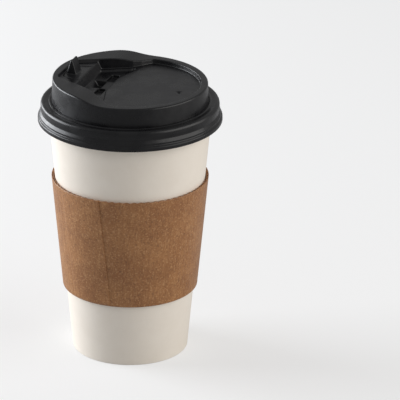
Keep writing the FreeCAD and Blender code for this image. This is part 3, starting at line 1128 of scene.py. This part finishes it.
    def outside(self, angles: Array) -> Array:
        """Skirt, ledge, dome wall and the round at the rim.

        Args:
            angles: Azimuths from the mouth, in radians.

        Returns:
            Rows of points from the lip's foot to the rim's surface.
        """
        top = self.ledge_top
        foot = top - self.lip_drop
        ring = self.dome_foot + self.ring_width
        dish, crown = top - self.dish, top - self.dish + self.ring_rise
        soft = self.press / 2
        section = rounded_run([
            (self.lip_radius - 0.12, foot, 0), (self.lip_radius, foot + 0.12, 0.1),
            (self.lip_radius, foot + self.lip_band, self.press),
            (self.neck_radius, top - self.bead_drop - self.lip_band / 2, self.press),
            (self.bead_radius, top - self.bead_drop, self.press),
            (self.snap_radius, top - self.snap_drop, self.press),
            (self.ledge_radius, top - self.ledge_drop, self.press),
            (self.ledge_radius, top, self.shoulder),
            (self.ledge_radius - self.shoulder - soft, top, soft), (ring + self.ring_rise, dish, soft),
            (ring, crown, soft), (self.dome_foot + self.ring_rise, crown, soft),
            (self.dome_foot - 0.02, dish, 0.1), (self.dome_foot - 0.25, dish + 2.86, 0)])[:-1]
        rows = list(turned(section, angles))
        low_r, low_z = section[-1]
        high_r, high_z = self.rim_circle(angles, 90 - self.draft)
        for share in np.linspace(0, 1, 8)[1:-1]:
            rows.append(ring_row(low_r + (high_r - low_r) * share, angles, low_z + (high_z - low_z) * share))
        for across in np.linspace(90 - self.draft, 0, 8):
            r, z = self.rim_circle(angles, across)
            rows.append(ring_row(r, angles, z))
        return np.array(rows)

    def recess_wall(self, ring: Array) -> Array:
        """Level lines of the recess's wall from the rim's surface down to the floor.

        Args:
            ring: The shrunk outline.

        Returns:
            Rows of points, the outermost first.
        """
        even = even_ring(level_line(ring, self.plan_round, full_turn(RAYS)), self.wall_columns)
        angles = np.arctan2(even[:, 1], even[:, 0])
        rows = []
        for out, drop, brink in pressed_bends(self.wall_round, self.wall_steep, 6):
            level = self.plan_round + out + math.copysign(self.wall_lean / 2, out)
            plan = level_line(ring, level, angles)
            z = self.rim_level(plan[:, 0]) - drop if brink else self.floor_level(plan) + drop
            rows.append(lift(plan, z))
        return np.array(rows)

    def sunk_box(self, surface: Surface, centre: Pair, top: Pair,
                 base: Pair, depth: float) -> Array:
        """Pocket with leaning walls below the well's floor.

        Args:
            surface: Surface that it is added to.
            centre: Centre of the pocket.
            top: Half sizes at the floor.
            base: Half sizes at the bottom.
            depth: Depth of the pocket.

        Returns:
            Outline of the opening, to be left out of the floor.
        """
        rows = []
        for out, drop, brink in pressed_bends(self.pocket_round, self.pocket_steep, 5):
            half, corner = (top, self.pocket_corner) if brink else (base, self.pocket_corner - 0.2)
            plan = soft_box(centre, (half[0] + out, half[1] + out), corner + out)
            rows.append(lift(plan, self.well_floor - drop if brink else self.well_floor - depth + drop))
        surface.skin(np.array(rows))
        surface.fill(rows[-1][:, :2], self.well_floor - depth)
        return rows[0][:, :2]

    def tab_plan(self, grow: float, root: float) -> Array:
        """Outline of the tab from its root towards the mouth, or of the slit round it when grown."""
        sizes = (self.tab_root_half, self.tab_end_half, self.tab_end, self.tab_corner)
        a, b, end, r = (size + grow for size in sizes)
        return rounded_ring([(root, -a, 0.3), (end, -b, r), (end, b, r), (root, a, 0.3)], 0.0, 1.2, 8)

    def grid_inside(self, step: float, edge: Array, holes: Sequence[Array]) -> Array:
        """Evenly set points within an outline and clear of its holes, which help the triangles along.

        Args:
            step: Spacing.
            edge: The outline.
            holes: Outlines of the holes.

        Returns:
            The points.
        """
        side = np.arange(-45, 45, step)
        x, y = np.meshgrid(side, side)
        x = x + (np.arange(len(side)) % 2 * step / 2)[:, None]
        points = np.stack([x.ravel(), y.ravel()], 1)
        return points[clear_of(points, edge, holes, 0.5)]

    def shell(self) -> Surface:
        """Outer surface of the lid, with the slit round the tab left open.

        Returns:
            The surface.
        """
        surface = Surface()
        rows = self.outside(full_turn(self.columns))
        surface.skin(rows)
        wall = self.recess_wall(self.recess_ring())
        surface.skin(wall)
        rim_edge, brink, foot = rows[-1][:, :2], wall[0][:, :2], wall[-1][:, :2]
        land = self.grid_inside(1.6, rim_edge, [brink])
        surface.fill(rim_edge, lambda p: self.rim_level(p[:, 0]), [brink], land)
        stud_half = self.stud_length / 2 + self.pocket_play
        holes = [self.tab_plan(self.slit, self.hinge_at)]
        holes.append(self.sunk_box(
            surface, (2 * self.hinge_at - self.stud_at, 0.0),
            (self.stud_foot / 2 + self.pocket_play, stud_half + self.pocket_draft),
            (self.stud_ridge / 2 + self.pocket_play + self.pocket_draft, stud_half),
            self.well_floor - self.pocket_floor))
        half = (self.finger_width / 2, self.finger_length / 2)
        lean = self.finger_depth * math.tan(math.radians(self.draft))
        for side in (1, -1):
            centre = (self.step_at + self.finger_gap + half[0], side * self.finger_offset)
            base = (half[0] - lean, half[1] - lean)
            holes.append(self.sunk_box(surface, centre, half, base, self.finger_depth))
        holes.append(self.vent(surface))
        rings = [self.well_plan(self.well_ease * k / 3) for k in range(-3, 4)]
        lines = [np.vstack([ring, ring[:1]]) for ring in rings]
        bends = np.concatenate([self.brim_run()[1:-1, 0], self.well_run()[1:-1, 0]])
        side = np.arange(-40, 40, 0.9)
        for t in np.unique(np.round(bends, 3)):
            line = np.stack([np.full(len(side), t), side], 1)
            free = clear_of(line, foot, holes, 0.12).astype(int)
            starts = np.flatnonzero(np.diff(np.concatenate([[0], free, [0]])))
            lines.extend(line[a:b] for a, b in zip(starts[::2], starts[1::2]) if b - a > 1)
        surface.fill(foot, self.floor_level, holes, self.grid_inside(1.7, foot, holes), lines)
        return surface

    def vent(self, surface: Surface) -> Array:
        """Dimple with the air hole in it.

        Args:
            surface: Surface that it is added to.

        Returns:
            Outline of the dimple, to be left out of the floor.
        """
        turn = full_turn(40)
        shape = ((self.vent_dimple + 0.3, 0.0), (self.vent_dimple, 0.04), (1.2, 0.22), (0.85, 0.40),
                 (self.vent_radius + 0.08, self.vent_depth), (self.vent_radius, self.vent_depth + 0.05))
        rows = np.array([ring_row(r, turn, self.plateau - drop) for r, drop in shape])
        rows += (-self.vent_at, self.vent_side, 0.0)
        surface.skin(rows)
        return rows[0][:, :2]

    def tab(self) -> Surface:
        """The tab with its gable-shaped stud.

        Returns:
            The surface.
        """
        surface = Surface()
        edge = self.tab_plan(0.0, self.hinge_at + self.crease)
        high, crown = self.stud_height, self.stud_crown
        lean = (self.stud_foot - self.stud_ridge) / 2 / high
        rows = []

        def ring(up: float, out: float, ends: float) -> None:
            """Add a row round the stud at a height, moved out at its sides and ends."""
            half = (self.stud_foot / 2 - lean * up + out, self.stud_length / 2 + ends)
            plan = soft_box((self.stud_at, 0.0), half, min(0.45 + max(out, 0), half[0]))
            rows.append(lift(plan, self.channel + up))
        for out, up, root in pressed_bends(self.stud_round, self.stud_steep, 5):
            if root:
                ring(up, out, out)
        for up in np.linspace(1.2, high - crown, 8):
            ring(up, 0.0, -0.012 * up)
        for a in np.radians(np.linspace(20, 80, 5)):
            fall = 1 - math.cos(a)
            ring(high - crown + crown * math.sin(a), -0.42 * fall, -0.1 - crown * fall)
        surface.skin(np.array(rows))
        surface.fill(rows[-1][:, :2], rows[-1][0, 2])
        hole = rows[0][:, :2]
        inner = self.grid_inside(1.2, edge, [hole])
        surface.fill(edge, self.channel, [hole], inner)
        return surface

    def build(self, plastic: Material) -> None:
        """Make the lid and its tab and dress them in black sheet."""
        lid = self.shell().make("formed_lid", self.mouth_azimuth)
        tab = self.tab().make("drinking_tab", self.mouth_azimuth)
        seat(thicken(lid, self.sheet), Body.LID, "lid", plastic)
        seat(thicken(tab, self.sheet), Body.TAB, "lid_tab", plastic)


@dataclass
class Studio:
    """Pale floor, soft lamps and the camera of the photograph."""

    camera_distance: float = 2.2632
    camera_pitch: float = 22.45
    aim: tuple[float, float, float] = (-0.0006, 0.0, 0.07965)
    lens: float = 396.6
    shift: float = 0.1775
    floor_colour: Colour = (0.46, 0.46, 0.46)
    floor_half: float = 8.0
    floor_lift: float = 1.00
    air_light: float = 0.36
    backdrop: Colour = (0.88, 0.88, 0.89)

    def camera(self) -> None:
        """Set the camera where the photograph was taken from."""
        data = bpy.data.cameras.new("camera")
        data.lens = self.lens
        data.sensor_width = 36.0
        data.shift_x = self.shift
        data.clip_start, data.clip_end = 0.05, 30.0
        camera = bpy.data.objects.new("camera", data)
        pitch = math.radians(self.camera_pitch)
        back = Vector((0, -math.cos(pitch), math.sin(pitch))) * self.camera_distance
        camera.location = Vector(self.aim) + back
        camera.rotation_euler = (math.pi / 2 - pitch, 0, 0)
        bpy.context.scene.collection.objects.link(camera)
        bpy.context.scene.camera = camera

    def lamp(self, name: str, place: tuple[float, float, float], size: Pair, power: float,
             colour: Colour, at: tuple[float, float, float] = (0, 0, 0.08)) -> None:
        """Add a large soft lamp.

        Args:
            name: The lamp's name.
            place: Where it stands.
            size: Its width and height.
            power: Its power in watts.
            colour: Its colour.
            at: What it points at.
        """
        data = bpy.data.lights.new(name, "AREA")
        data.shape = "RECTANGLE"
        data.size, data.size_y = size
        data.energy = power
        data.color = colour
        lamp = bpy.data.objects.new(name, data)
        lamp.location = place
        lamp.rotation_euler = (Vector(at) - Vector(place)).to_track_quat("-Z", "Y").to_euler()
        bpy.context.scene.collection.objects.link(lamp)

    def floor(self) -> None:
        """Lay the floor, which keeps the cup's shadow and looks pale to the camera."""
        half = self.floor_half
        corners = [(-half, -half, 0), (half, -half, 0), (half, half, 0), (-half, half, 0)]
        mesh = bpy.data.meshes.new("floor")
        mesh.from_pydata(corners, [], [(0, 1, 2, 3)])
        material, bench, _ = start_material("pale_floor")
        colour = (*self.floor_colour, 1)
        matt = bench.put("ShaderNodeBsdfDiffuse", {"Color": colour})
        seen = bench.put("ShaderNodeLightPath").outputs["Is Camera Ray"]
        lifted = bench.sum("MULTIPLY", seen, self.floor_lift)
        glow = bench.put("ShaderNodeEmission", {"Color": colour, "Strength": lifted})
        both = bench.put("ShaderNodeAddShader", {0: matt.outputs[0], 1: glow.outputs[0]})
        bench.put("ShaderNodeOutputMaterial", {0: both.outputs[0]})
        mesh.materials.append(material)
        floor = bpy.data.objects.new("floor", mesh)
        bpy.context.scene.collection.objects.link(floor)

    def air(self) -> None:
        """Set the even light that comes from all round."""
        world = bpy.data.worlds.new("studio_air")
        world.use_nodes = True
        bench = Bench(world.node_tree)
        seen = bench.put("ShaderNodeLightPath").outputs
        behind = bench.sum("MAXIMUM", seen["Is Camera Ray"], seen["Is Transmission Ray"])
        soft = bench.put("ShaderNodeBackground", {"Color": (1, 1, 1, 1), "Strength": self.air_light})
        pale = bench.put("ShaderNodeBackground", {"Color": (*self.backdrop, 1), "Strength": 1.0})
        mix = bench.put("ShaderNodeMixShader", {0: behind, 1: soft.outputs[0], 2: pale.outputs[0]})
        bench.put("ShaderNodeOutputWorld", {0: mix.outputs[0]})
        bpy.context.scene.world = world

    def build(self) -> None:
        """Set up the whole studio."""
        self.camera()
        self.floor()
        self.air()
        self.lamp("window_left", place=(-1.22, 0.36, 0.42), size=(0.95, 0.95), power=20.0,
                  colour=(0.955, 0.985, 1.03))
        self.lamp("wall_left", place=(-0.78, 0.60, 0.17), size=(0.75, 0.32), power=4.2,
                  colour=(0.97, 0.99, 1.02), at=(0.0, 0.0, 0.12))
        self.lamp("card_right", place=(1.15, -0.38, 0.52), size=(1.5, 1.2), power=12.5,
                  colour=(1.0, 0.98, 0.95))
        bpy.context.scene.view_settings.view_transform = "Standard"


def main() -> None:
    """Build the studio and the cup."""
    logging.basicConfig(level=logging.INFO, format="%(message)s")
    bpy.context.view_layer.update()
    groups = Groups()
    board = CoatedBoard().material(groups)
    kraft = KraftBoard().material(groups)
    plastic = BlackSheet().material(groups)
    Studio().build()
    cup = PaperCup()
    cup.build(board)
    Sleeve(cup).build(kraft)
    Lid().build(plastic)
    bpy.context.view_layer.update()


if __name__ == "__main__":
    main()
